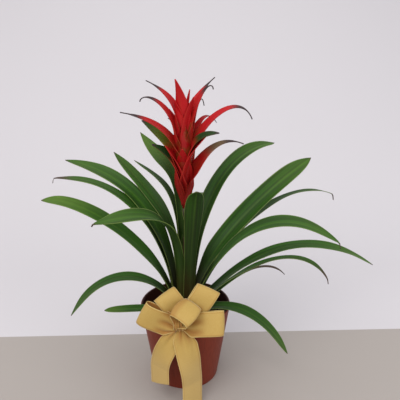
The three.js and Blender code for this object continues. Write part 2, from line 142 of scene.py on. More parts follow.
class Graph:
    """The nodes of one material."""

    def __init__(self, name: str) -> None:
        """Start a material.

        Args:
            name: The material's name.
        """
        self.material = bpy.data.materials.new(name)
        self.material.use_nodes = True
        self.tree = self.material.node_tree
        self.tree.nodes.clear()

    def add(
        self,
        kind: str,
        settings: dict[str, Any] | None = None,
        sockets: dict[str | int, Any] | None = None,
    ) -> bpy.types.Node:
        """Add a node.

        Args:
            kind: The node's type.
            settings: Its properties, set before its sockets.
            sockets: Values or signals for its inputs, by name or number.

        Returns:
            The node.
        """
        node = self.tree.nodes.new(kind)
        for name, value in (settings or {}).items():
            setattr(node, name, value)
        for key, value in (sockets or {}).items():
            if isinstance(value, Signal):
                self.tree.links.new(value.socket, node.inputs[key])
            else:
                node.inputs[key].default_value = value
        return node

    def output(self, node: bpy.types.Node, key: str | int = 0) -> Signal:
        """Return a node's output as a signal."""
        return Signal(self, node.outputs[key])

    def place(self) -> Signal:
        """Return the Object coordinates."""
        return self.output(self.add("ShaderNodeTexCoord"), "Object")

    def layer(self, name: str) -> Signal:
        """Return the vector that a mesh attribute holds."""
        return self.output(self.add("ShaderNodeAttribute", {"attribute_name": name}), "Vector")

    def split(self, vector: Signal) -> tuple[Signal, Signal, Signal]:
        """Return a vector's three parts."""
        node = self.add("ShaderNodeSeparateXYZ", None, {0: vector})
        return self.output(node, 0), self.output(node, 1), self.output(node, 2)

    def join(self, x: Any, y: Any, z: Any) -> Signal:
        """Return a vector made of three values."""
        return self.output(self.add("ShaderNodeCombineXYZ", None, {0: x, 1: y, 2: z}))

    def noise(self, vector: Signal, scale: float, detail: float = 2.0) -> Signal:
        """Return noise of 0 to 1 over a vector.

        Args:
            vector: The coordinates.
            scale: How many lumps a unit holds.
            detail: How many finer octaves are added.

        Returns:
            The noise value.
        """
        sockets = {"Vector": vector, "Scale": scale, "Detail": detail}
        return self.output(self.add("ShaderNodeTexNoise", None, sockets))

    def blend(self, factor: Any, first: Any, second: Any) -> Signal:
        """Mix two colours.

        Args:
            factor: The share of the second colour.
            first: A colour or a colour signal.
            second: The other one.

        Returns:
            The mixed colour.
        """
        def paint(value: Any) -> Any:
            """Return a colour with its alpha, or a signal as it is."""
            return value if isinstance(value, Signal) else (*value, 1.0)
        sockets = {0: factor, 6: paint(first), 7: paint(second)}
        return self.output(self.add("ShaderNodeMix", {"data_type": "RGBA"}, sockets), 2)

    def bump(self, height: Signal, distance: float, strength: float) -> Signal:
        """Return a normal that follows a height.

        Args:
            height: The height, of 0 to 1.
            distance: What a height of 1 stands for, in metres.
            strength: How much of it shows.

        Returns:
            The normal.
        """
        sockets = {"Height": height, "Distance": distance, "Strength": strength}
        return self.output(self.add("ShaderNodeBump", None, sockets))

    def surface(self, **values: Any) -> bpy.types.Material:
        """Close the material with a Principled shader.

        Args:
            **values: Its inputs, with underscores for spaces.

        Returns:
            The material.
        """
        sockets = {name.replace("_", " "): value for name, value in values.items()}
        if isinstance(sockets["Base Color"], tuple):
            sockets["Base Color"] = (*sockets["Base Color"], 1.0)
        shader = self.output(self.add("ShaderNodeBsdfPrincipled", None, sockets))
        self.add("ShaderNodeOutputMaterial", None, {0: shader})
        return self.material


@dataclass(frozen=True)
class LeafFinish:
    """Smooth green blades: long bands and veins, painted highlights along the rims, dry tips and painted
    shade at the foot.
    """

    deep: Colour = linear(26, 46, 12)
    fresh: Colour = linear(51, 97, 20)
    light: Colour = linear(106, 134, 48)
    # rim: the colour of the painted highlight along the leaf rims
    rim: Colour = linear(140, 158, 84)
    # foot: the colour of the painted shade at the leaves' feet
    foot: Colour = linear(30, 40, 10)
    blush: Colour = linear(64, 22, 10)
    dry: Colour = linear(76, 60, 48)
    shaded: tuple[float, float] = (0.026, 0.07)
    blushed: tuple[float, float] = (0.02, 0.045)
    blush_height: tuple[float, float] = (0.135, 0.23)
    band_scale: float = 330.0
    vein_scale: float = 1500.0
    mottle_scale: float = 55.0
    relief_depth: float = 0.0005

    def material(self) -> bpy.types.Material:
        """Return the finish as a material."""
        graph = Graph("leaf")
        across, along, share = graph.split(graph.layer("blade"))
        half, tone, _ = graph.split(graph.layer("trim"))
        dried, _, _ = graph.split(graph.layer("dry"))
        place = graph.place()
        x, y, height = graph.split(place)
        out = (x * x + y * y) ** 0.5
        width = across * half
        bands = graph.noise(graph.join(width * self.band_scale, along * 7, tone * 19), 1.0, 1.0)
        veins = graph.noise(graph.join(width * self.vein_scale, along * 9, tone * 37), 1.0, 2.0)
        mottle = graph.noise(place, self.mottle_scale, 3.0)
        fresh = bands.step(0.3, 0.75) * 0.45 + veins.step(0.3, 0.8) * 0.2 + tone * 0.5 - 0.08
        colour = graph.blend(fresh, self.deep, self.fresh)
        tipwards = share.step(0.62, 0.95) * (0.15 + mottle * 0.5) * tone * tone
        colour = graph.blend(tipwards, colour, self.light)
        colour = graph.blend((1 - abs(across).step(0.02, 0.14)) * 0.14, colour, self.light)
        # Painted shade: the blades darken towards the foot colour near the axis, where the leaves shade one
        # another
        colour = graph.blend((1 - out.step(*self.shaded)) * 0.55, colour, self.foot)
        low = (1 - out.step(*self.blushed)) * (1 - height.step(*self.blush_height))
        colour = graph.blend(low * (0.2 + mottle * 0.65), colour, self.blush)
        # Painted highlight: the rims are paled towards the rim colour, standing in for light caught along
        # the leaf edges
        rim_highlight = abs(across).step(0.9, 0.99) * (0.1 + mottle * 0.65)
        colour = graph.blend(rim_highlight, colour, self.rim)
        colour = graph.blend(dried, colour, self.dry)
        relief = graph.bump(veins * 0.6 + bands * 0.4, self.relief_depth, 0.35)
        return graph.surface(Base_Color=colour, Roughness=0.46 + mottle * 0.16, Normal=relief,
                             Specular_IOR_Level=0.22, Coat_Weight=0.02, Coat_Roughness=0.4)


@dataclass(frozen=True)
class BractFinish:
    """Waxy red bracts: darker feet, bright middles, thread tips and some green ones."""

    foot: Colour = linear(112, 20, 12)
    body: Colour = linear(150, 12, 14)
    bright: Colour = linear(184, 22, 28)
    orange: Colour = linear(176, 58, 30)
    thread: Colour = linear(58, 44, 44)
    olive: Colour = linear(110, 92, 66)
    green: Colour = linear(98, 116, 34)
    dark_green: Colour = linear(30, 58, 20)
    patch: Colour = linear(108, 62, 18)
    foot_height: tuple[float, float] = (0.305, 0.39)
    patch_starts: tuple[float, float] = (0.35, 0.39)
    patch_ends: tuple[float, float] = (0.42, 0.46)
    vein_scale: float = 1300.0
    band_scale: float = 280.0
    cloud_scale: float = 48.0
    relief_depth: float = 0.0004

    def material(self) -> bpy.types.Material:
        """Return the finish as a material."""
        graph = Graph("bract")
        across, along, share = graph.split(graph.layer("blade"))
        half, tone, kind = graph.split(graph.layer("trim"))
        place = graph.place()
        _, _, height = graph.split(place)
        width = across * half
        veins = graph.noise(graph.join(width * self.vein_scale, along * 11, tone * 41), 1.0, 2.0)
        bands = graph.noise(graph.join(width * self.band_scale, along * 16, tone * 23), 1.0, 2.0)
        clouds = graph.noise(place, self.cloud_scale, 2.0)
        colour = graph.blend(share.step(0.15, 0.6) * (0.5 + tone * 0.5), self.body, self.bright)
        colour = graph.blend(bands.step(0.5, 0.85) * 0.3, colour, self.orange)
        colour = graph.blend((1 - height.step(*self.foot_height)) * 0.7, colour, self.foot)
        girdle = height.step(*self.patch_starts) * (1 - height.step(*self.patch_ends))
        patches = girdle * (1 - share.step(0.3, 0.6)) * clouds.step(0.42, 0.58)
        colour = graph.blend(patches * 0.7, colour, self.patch)
        dark = kind.step(Shade.GREEN.value, Shade.DARK.value)
        tipwards = share.step(0.72, 0.95)
        greens = graph.blend(tipwards * 0.7 + veins * 0.3 + dark * 0.8, self.green, self.dark_green)
        shades = graph.blend(kind.step(Shade.TIPPED.value, Shade.GREEN.value), self.olive, greens)
        begins = dark * share.step(0.58, 0.74) + (1 - dark) * share.step(0.5, 0.7)
        colour = graph.blend(kind.step(0.3, 0.5) * begins, colour, shades)
        colour = graph.blend(abs(across).step(0.85, 0.98) * 0.16, colour, self.orange)
        threaded = abs(kind - Shade.PLAIN.value).step(0.05, 0.12)
        leafy = kind.step(Shade.TIPPED.value + 0.05, Shade.GREEN.value - 0.05)
        tip = leafy * share.step(0.93, 0.985) + (1 - leafy) * share.step(0.74, 0.86) * threaded
        colour = graph.blend(tip, colour, self.thread)
        relief = graph.bump(veins * 0.7 + bands * 0.3, self.relief_depth, 0.3)
        return graph.surface(Base_Color=colour, Roughness=0.42 + bands * 0.14, Normal=relief,
                             Specular_IOR_Level=0.22, Coat_Weight=0.02, Coat_Roughness=0.35)


@dataclass(frozen=True)
class StalkFinish:
    """The stalk: olive green with a brownish foot and lengthwise ribs."""

    green: Colour = linear(46, 46, 20)
    brown: Colour = linear(92, 44, 22)
    brown_height: tuple[float, float] = (0.16, 0.27)
    rib_scale: float = 900.0
    relief_depth: float = 0.0004

    def material(self) -> bpy.types.Material:
        """Return the finish as a material."""
        graph = Graph("stalk")
        x, y, height = graph.split(graph.place())
        ribs = graph.noise(graph.join(x * self.rib_scale, y * self.rib_scale, height * 14), 1.0, 2.0)
        low = 1 - height.step(*self.brown_height)
        colour = graph.blend(low * 0.7 + ribs * 0.25, self.green, self.brown)
        relief = graph.bump(ribs, self.relief_depth, 0.4)
        return graph.surface(Base_Color=colour, Roughness=0.5, Normal=relief)


@dataclass(frozen=True)
class PotFinish:
    """Red-brown moulded plastic: satin, with faint upright streaks and painted shade inside.

    The painted shade covers the inside, which is where the radius, less the wall's slope times the height,
    is small enough.
    """

    body: Colour = linear(123, 50, 33)
    streak: Colour = linear(98, 42, 30)
    # inside: the colour of the painted shade inside the pot
    inside: Colour = linear(62, 30, 22)
    slope: float = 0.1553
    shaded_hollow: tuple[float, float] = (0.0524, 0.0537)
    above_base: tuple[float, float] = (0.004, 0.006)
    streak_scale: float = 420.0
    grain_scale: float = 900.0
    relief_depth: float = 0.00025

    def material(self) -> bpy.types.Material:
        """Return the finish as a material."""
        graph = Graph("pot")
        place = graph.place()
        x, y, height = graph.split(place)
        spread = graph.join(x * self.streak_scale, y * self.streak_scale, height * 5)
        streaks = graph.noise(spread, 1.0, 3.0)
        grain = graph.noise(place, self.grain_scale, 2.0)
        colour = graph.blend(streaks.step(0.4, 0.75) * 0.5, self.body, self.streak)
        # Painted shade: the inside of the pot is darkened to the inside colour, standing in for the shade
        # within the wall
        wall = (x * x + y * y) ** 0.5 - height * self.slope
        shaded_hollow = (1 - wall.step(*self.shaded_hollow)) * height.step(*self.above_base)
        colour = graph.blend(shaded_hollow, colour, self.inside)
        relief = graph.bump(grain * 0.5 + streaks * 0.5, self.relief_depth, 0.35)
        return graph.surface(Base_Color=colour, Roughness=0.4 + streaks * 0.14, Normal=relief,
                             Specular_IOR_Level=0.18)


@dataclass(frozen=True)
class SoilFinish:
    """Moist dark peat with brown fibres."""

    dark: Colour = linear(22, 14, 10)
    brown: Colour = linear(58, 38, 26)
    lump_scale: float = 210.0
    relief_depth: float = 0.002

    def material(self) -> bpy.types.Material:
        """Return the finish as a material."""
        graph = Graph("soil")
        lumps = graph.noise(graph.place(), self.lump_scale, 6.0)
        colour = graph.blend(lumps.step(0.45, 0.75), self.dark, self.brown)
        relief = graph.bump(lumps, self.relief_depth, 0.8)
        return graph.surface(Base_Color=colour, Roughness=0.9, Normal=relief)


@dataclass(frozen=True)
class RibbonFinish:
    """Golden woven ribbon: a fine plain weave, painted shade in the folds, painted light low down on the
    tails, soft sheen and lighter selvedges.
    """

    gold: Colour = linear(187, 157, 84)
    warm: Colour = linear(178, 138, 62)
    # fold: the colour of the painted shade in the folds, and of the darker line woven inside each selvedge
    fold: Colour = linear(158, 100, 34)
    selvedge: Colour = linear(210, 186, 120)
    # pale: the colour of the painted light on the low hanging tails
    pale: Colour = linear(214, 186, 132)
    painted_light_height: tuple[float, float] = (0.06, 0.12)
    thread: float = 0.00055
    slub_width: float = 200.0
    slub_length: float = 1600.0
    cloud_scale: float = 38.0
    relief_depth: float = 0.00012

    def material(self) -> bpy.types.Material:
        """Return the finish as a material."""
        graph = Graph("ribbon")
        across, along, edge = graph.split(graph.layer("weave"))
        deep, _, _ = graph.split(graph.layer("gather"))
        place = graph.place()
        _, _, height = graph.split(place)
        turn = 2 * math.pi / self.thread
        weave = (across * turn).sine() * (along * turn).sine() * 0.5 + 0.5
        slubs = graph.noise(graph.join(across * self.slub_width, along * self.slub_length, 0.0), 1.0, 2.0)
        cloud = graph.noise(place, self.cloud_scale, 2.0)
        colour = graph.blend(slubs.step(0.35, 0.7) * 0.35 + cloud * 0.3, self.gold, self.warm)
        # Painted light: the ribbon pales low down, on the hanging tails, standing in for the light they
        # catch
        colour = graph.blend((1 - height.step(*self.painted_light_height)) * 0.25, colour, self.pale)
        # Painted shade: the folds, the pinched waist and the inside of some loops are darkened towards the
        # fold colour
        colour = graph.blend(deep, colour, self.fold)
        inner = edge.step(0.8, 0.87) * (1 - edge.step(0.9, 0.95))
        colour = graph.blend(inner * 0.3, colour, self.fold)
        colour = graph.blend(edge.step(0.93, 0.975) * 0.6, colour, self.selvedge)
        relief = graph.bump(weave * 0.6 + slubs * 0.4, self.relief_depth, 0.5)
        return graph.surface(Base_Color=colour, Roughness=0.62 + slubs * 0.12, Normal=relief,
                             Sheen_Weight=0.2, Sheen_Roughness=0.4)


@dataclass(frozen=True)
class WireFinish:
    """Green lacquered florist's wire."""

    green: Colour = linear(48, 66, 40)
    dark: Colour = (0.01, 0.015, 0.008)
    fleck_scale: float = 700.0

    def material(self) -> bpy.types.Material:
        """Return the finish as a material."""
        graph = Graph("wire")
        flecks = graph.noise(graph.place(), self.fleck_scale, 2.0)
        colour = graph.blend(flecks * 0.4, self.green, self.dark)
        return graph.surface(Base_Color=colour, Roughness=0.35 + flecks * 0.15, Metallic=0.3)


@dataclass(frozen=True)
class StageFinish:
    """A plain matt surface of the studio."""

    name: str
    paint: Colour

    def material(self) -> bpy.types.Material:
        """Return the finish as a material."""
        return Graph(self.name).surface(Base_Color=self.paint, Roughness=0.75)


class Shade(Enum):
    """How a bract ends: red with a thread, plain red, olive with a thread, green or dark green."""

    RED = 0.0
    PLAIN = 0.2
    TIPPED = 0.6
    GREEN = 0.8
    DARK = 1.0


# The share of its length where a bract's thread starts, and the power of the taper up to there;
# bracts of the other shades have no thread
TAPERS = {Shade.RED: (0.92, 1.25), Shade.TIPPED: (0.92, 0.9)}


@dataclass(frozen=True)
class Blade:
    """A blade along an arc in the upright plane of its azimuth, as in the part.

    Attributes:
        azimuth: The direction of the plane, in degrees from the right.
        reach: How far from the axis it ends.
        tip: How high it ends.
        rise: The length of the arc's first handle, which points straight up.
        sweep: The length of its last handle.
        arrive: The slope at its end, in degrees.
        width: Its greatest width.
        roll: How far it rolls over to one side, in degrees.
        sway: How far its end has turned out of the plane, in degrees.
        channel: The radius of the arch across it.
        root: The height of its root, for a bract.
        fullness: How long a leaf keeps its width towards the tip.
        dry: The share of its length that has dried at the tip.
        hook: The length of a thin hook that bends down at the tip.
        shade: How a bract ends.
    """

    azimuth: float
    reach: float
    tip: float
    rise: float
    sweep: float
    arrive: float
    width: float
    roll: float = 0.0
    sway: float = 0.0
    channel: float = 30.0
    root: float = 0.0
    fullness: float = 3.8
    dry: float = 0.015
    hook: float = 0.0
    shade: Shade = Shade.RED


class Arc:
    """A blade's middle line as radius and height, measured along its length."""

    samples = 160
    hook_steps = 16
    hook_ease = (-0.3, 0.6)
    hook_end = -80.0

    def __init__(self, blade: Blade, radius: float, height: float, straight: float = 0.0) -> None:
        """Sample the line.

        Args:
            blade: The blade.
            radius: Its distance from the axis at the root.
            height: The height of its root.
            straight: The upright length before the arc.
        """
        leaving = height + straight
        slope = math.radians(blade.arrive)
        knots = [
            Vector((radius, leaving)),
            Vector((radius, leaving + blade.rise)),
            Vector((blade.reach - blade.sweep * math.cos(slope), blade.tip - blade.sweep * math.sin(slope))),
            Vector((blade.reach, blade.tip)),
        ]
        self.points = [Vector((radius, height))] if straight else []
        for step in range(self.samples + 1):
            t = step / self.samples
            weights = ((1 - t) ** 3, 3 * t * (1 - t) ** 2, 3 * t * t * (1 - t), t ** 3)
            self.points.append(sum((knot * weight for knot, weight in zip(knots, weights)), Vector((0, 0))))
        for step in range(self.hook_steps if blade.hook else 0):
            bent = smooth(step / self.hook_steps, *self.hook_ease)
            bend = math.radians(mix(blade.arrive, self.hook_end, bent))
            stride = blade.hook / self.hook_steps
            self.points.append(self.points[-1] + Vector((math.cos(bend), math.sin(bend))) * stride)
        self.marks = [0.0]
        for before, after in zip(self.points, self.points[1:]):
            self.marks.append(self.marks[-1] + (after - before).length)
        self.length = self.marks[-1]

    def at(self, share: float) -> tuple[Vector, Vector]:
        """Find a place on the line.

        Args:
            share: The share of the length, from 0 at the root to 1 at the tip.

        Returns:
            The point and the direction there, each as radius and height.
        """
        mark = share * self.length
        index = min(max(bisect_right(self.marks, mark) - 1, 0), len(self.points) - 2)
        span = self.marks[index + 1] - self.marks[index]
        part = (mark - self.marks[index]) / span
        point = self.points[index].lerp(self.points[index + 1], part)
        low = self.points[max(index - 1, 0)]
        high = self.points[min(index + 2, len(self.points) - 1)]
        return point, (high - low).normalized()


def finished(mesh: bmesh.types.BMesh, name: str, material: bpy.types.Material) -> bpy.types.Object:
    """Turn a bmesh in millimetres into a smooth object in metres.

    Args:
        mesh: The bmesh, which is freed.
        name: The object's name.
        material: Its finish.

    Returns:
        The object, at the origin.
    """
    bmesh.ops.scale(mesh, vec=Vector((METRE,) * 3), verts=mesh.verts)
    for face in mesh.faces:
        face.smooth = True
    data = bpy.data.meshes.new(name)
    mesh.to_mesh(data)
    mesh.free()
    data.materials.append(material)
    piece = bpy.data.objects.new(name, data)
    bpy.context.scene.collection.objects.link(piece)
    return piece


def settle(piece: bpy.types.Object, slot: str, *nodes: str) -> None:
    """Seat a piece on the body in place of its nodes.

    Args:
        piece: The piece.
        slot: The record's material slot; not used.
        *nodes: The nodes that it stands for.
    """
    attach(piece, BODY)
    if nodes:
        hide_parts(*nodes)
    LOG.info("%s: %d vertices", piece.name, len(piece.data.vertices))


def lathe(profile: list[tuple[float, float]], sides: int) -> bmesh.types.BMesh:
    """Spin a profile about the upright axis into a closed surface that faces outwards.

    Args:
        profile: The radius and height of its points, up the outside, with its ends on the axis.
        sides: How many steps a full turn has.

    Returns:
        The bmesh, in millimetres.
    """
    mesh = bmesh.new()
    rings = []
    for radius, height in profile:
        count = sides if radius > 0 else 1
        turns = [2 * math.pi * step / count for step in range(count)]
        points = [(radius * math.cos(turn), radius * math.sin(turn), height) for turn in turns]
        rings.append([mesh.verts.new(point) for point in points])
    for low, high in zip(rings, rings[1:]):
        for step in range(sides):
            after = (step + 1) % sides
            corners = [low[step % len(low)], low[after % len(low)]]
            corners += [high[after % len(high)], high[step % len(high)]]
            mesh.faces.new(list(dict.fromkeys(corners)))
    return mesh


def thicken(piece: bpy.types.Object, thickness: float) -> None:
    """Give a sheet-like piece an even thickness, in millimetres, about its middle surface."""
    modifier = piece.modifiers.new("thickness", "SOLIDIFY")
    modifier.thickness = thickness * METRE
    modifier.offset = 0.0
    modifier.use_even_offset = True


class BladeMaker:
    """Adds blades to a bmesh, each a grid that is bent along its arc."""

    ripple_length = 17.0
    crease_depth = 0.8
    crease_width = 0.2

    def __init__(self, mesh: bmesh.types.BMesh, rolled: tuple[float, float] = (0.15, 0.6)) -> None:
        """Prepare the layers.

        Args:
            mesh: The bmesh to add to.
            rolled: The shares of the length between which a blade rolls over.
        """
        self.mesh = mesh
        self.rolled = rolled
        self.blade_layer = mesh.verts.layers.float_vector.new("blade")
        self.trim_layer = mesh.verts.layers.float_vector.new("trim")
        self.dry_layer = mesh.verts.layers.float_vector.new("dry")

    def add(
        self,
        blade: Blade,
        arc: Arc,
        half_width: Callable[[float, float], float],
        curl: Callable[[float, float], float],
        tone: float,
        stations: int,
        strips: int,
        wave: float,
    ) -> None:
        """Add one blade.

        Args:
            blade: The blade.
            arc: Its middle line.
            half_width: The half width for a share of the length and a radius.
            curl: The radius of the arch across it, for the same.
            tone: Its own tone, from 0 to 1.
            stations: How many steps it has along.
            strips: How many steps it has across.
            wave: How far its rims wave, in millimetres.
        """
        made = bmesh.ops.create_grid(self.mesh, x_segments=strips, y_segments=stations, size=1.0)
        for vert in made["verts"]:
            across, share = vert.co.x, (vert.co.y + 1) / 2
            point, slope = arc.at(share)
            azimuth = math.radians(blade.azimuth + blade.sway * share * share)
            outward = Vector((math.cos(azimuth), math.sin(azimuth), 0))
            side = Vector((-math.sin(azimuth), math.cos(azimuth), 0))
            tangent = outward * slope.x + Vector((0, 0, slope.y))
            inner = outward * -slope.y + Vector((0, 0, slope.x))
            turn = Matrix.Rotation(math.radians(blade.roll) * smooth(share, *self.rolled), 3, tangent)
            inner, side = turn @ inner, turn @ side
            bend = curl(share, point.x)
            half = half_width(share, point.x)
            angle = across * half / bend
            place = outward * point.x + Vector((0, 0, point.y))
            place += side * bend * math.sin(angle) + inner * bend * (1 - math.cos(angle))
            ripple = math.sin(share * arc.length / self.ripple_length + tone * 40 + across * 1.3)
            lift = wave * ripple * across * across * smooth(share, 0.2, 0.5) * (1 - smooth(share, 0.85, 1))
            groove = max(0.0, 1 - abs(across) / self.crease_width) * smooth(share, 0.1, 0.3)
            vert.co = place + inner * (lift - self.crease_depth * groove * (1 - share))
            vert[self.blade_layer] = Vector((across, share * arc.length * METRE, share))
            vert[self.trim_layer] = Vector((half * METRE, tone, blade.shade.value))
            vert[self.dry_layer] = Vector((smooth(share, 1 - blade.dry, 1 - blade.dry * 0.4), 0, 0))


@dataclass
class Rosette:
    """The strap leaves, from the lowest, outermost one inwards.

    Their feet are sheaths that stand in nested rings in the soil and open out above it.
    """

    soil_top: float = 112.0
    seat_depth: float = 10.0
    heap: float = 3.0
    sheath_outer: float = 23.8
    sheath_pitch: float = 1.3
    sheath_angle: float = 36.0
    open_over: float = 44.0
    taper_from: float = 0.55
    thread_over: float = 0.05
    thread_half: float = 0.8
    tip_half: float = 0.7
    gap: float = 0.3
    thickness: float = 0.85
    wave: float = 0.6
    stations: int = 84
    strips: int = 12
    leaves: list[Blade] = field(default_factory=lambda: [
        Blade(340, 174, 68, 3, 133, -59, 21, roll=10),
        Blade(199, 135, 144, 14, 15, 4, 15, roll=-10, fullness=7),
        Blade(96, 190, 150, 24, 120, -50, 22),
        Blade(356, 163, 185, 3, 73, -50, 6, roll=5, dry=0.45),
        Blade(4, 323, 183, 9, 219, -35, 20, roll=15, dry=0.02),
        Blade(336, 225, 219, 24, 103, -58, 11, roll=8, dry=0.12, hook=9),
        Blade(186, 188, 121, 54, 136, -59, 20, roll=-15),
        Blade(80, 215, 255, 42, 130, -30, 24),
        Blade(24, 299, 281, 60, 160, -24, 16, roll=-4, dry=0.06, hook=14),
        Blade(344, 236, 264, 26, 174, -34, 28, roll=18, fullness=4, dry=0.04, hook=11),
        Blade(180, 221, 313, 96, 75, -7, 25, roll=-25, fullness=8),
        Blade(21, 234, 358, 102, 88, 27, 35, roll=42, channel=19, fullness=6),
        Blade(293, 91, 351, 95, 50, 24, 31, sway=-12, fullness=6),
        Blade(174, 204, 343, 100, 140, -4, 18, roll=-14, dry=0.12, hook=10),
        Blade(162, 205, 362, 122, 146, 6, 28, roll=-25, channel=22),
        Blade(38, 206, 376, 200, 108, -3, 30, roll=18, channel=15, fullness=6),
        Blade(245, 154, 307, 91, 142, -12, 36, roll=-20, sway=-30, fullness=4, dry=0.03, hook=5),
        Blade(95, 130, 325, 130, 95, 5, 22),
        Blade(150, 133, 374, 158, 149, 41, 22, roll=-25, channel=20, fullness=5),
        Blade(85, 118, 380, 175, 115, 30, 24),
        Blade(145, 99, 362, 215, 94, 23, 14),
        Blade(136, 98, 406, 276, 112, 40, 27, roll=-20, fullness=4.5),
    ])
    tones: tuple[float, ...] = (
        0.65, 0.9, 0.4, 0.35, 0.7, 0.4, 0.55, 0.4, 0.45, 0.6, 1.0,
        0.65, 0.15, 0.55, 0.6, 0.65, 0.6, 0.3, 0.55, 0.3, 0.4, 0.9)

    def rings(self) -> list[int]:
        """Return each leaf's ring: one further in than every lower leaf that its sheath overlaps."""
        found: list[int] = []
        for index, leaf in enumerate(self.leaves):
            ring = 0
            for lower in range(index):
                turn = abs(leaf.azimuth - self.leaves[lower].azimuth) % 360
                if min(turn, 360 - turn) < 2 * self.sheath_angle:
                    ring = max(ring, found[lower] + 1)
            found.append(ring)
        return found

    def leaf(self, number: int, ring: int, material: bpy.types.Material) -> bpy.types.Object:
        """Make one leaf.

        Args:
            number: Its number, from 1.
            ring: Its ring.
            material: Its finish.

        Returns:
            The leaf's object.
        """
        strap = self.leaves[number - 1]
        radius = self.sheath_outer - ring * self.sheath_pitch
        arc = Arc(strap, radius, self.soil_top - self.seat_depth, self.seat_depth + self.heap + 1)
        sheath_half = radius * math.radians(self.sheath_angle) - self.tip_half - self.gap / 2
        end = 1 - strap.hook / arc.length

        def half_width(share: float, out: float) -> float:
            """Return the half width there."""
            opened = smooth(out, radius, radius + self.open_over)
            tapered = max(0.0, min(share, end) - self.taper_from) / (end - self.taper_from)
            narrow = self.tip_half * (1.5 - share)
            if strap.hook:
                thinned = 1 - 0.6 * smooth(share, end, 1.01)
                narrow += self.thread_half * smooth(share, end - self.thread_over, end) * thinned
            return mix(sheath_half, strap.width / 2, opened) * (1 - tapered ** strap.fullness) + narrow

        def curl(_: float, out: float) -> float:
            """Return the radius of the arch there."""
            return mix(radius, strap.channel, smooth(out, radius, radius + self.open_over))

        mesh = bmesh.new()
        tone = self.tones[number - 1]
        maker = BladeMaker(mesh)
        maker.add(strap, arc, half_width, curl, tone, self.stations, self.strips, self.wave)
        piece = finished(mesh, f"strap_leaf_{number:02d}", material)
        thicken(piece, self.thickness)
        return piece

    def build(self, material: bpy.types.Material) -> None:
        """Make every leaf and seat it in place of its node.

        Args:
            material: The leaves' finish.
        """
        for index, ring in enumerate(self.rings()):
            piece = self.leaf(index + 1, ring, material)
            settle(piece, "leaf", f"leaf_{index + 1:02d}")


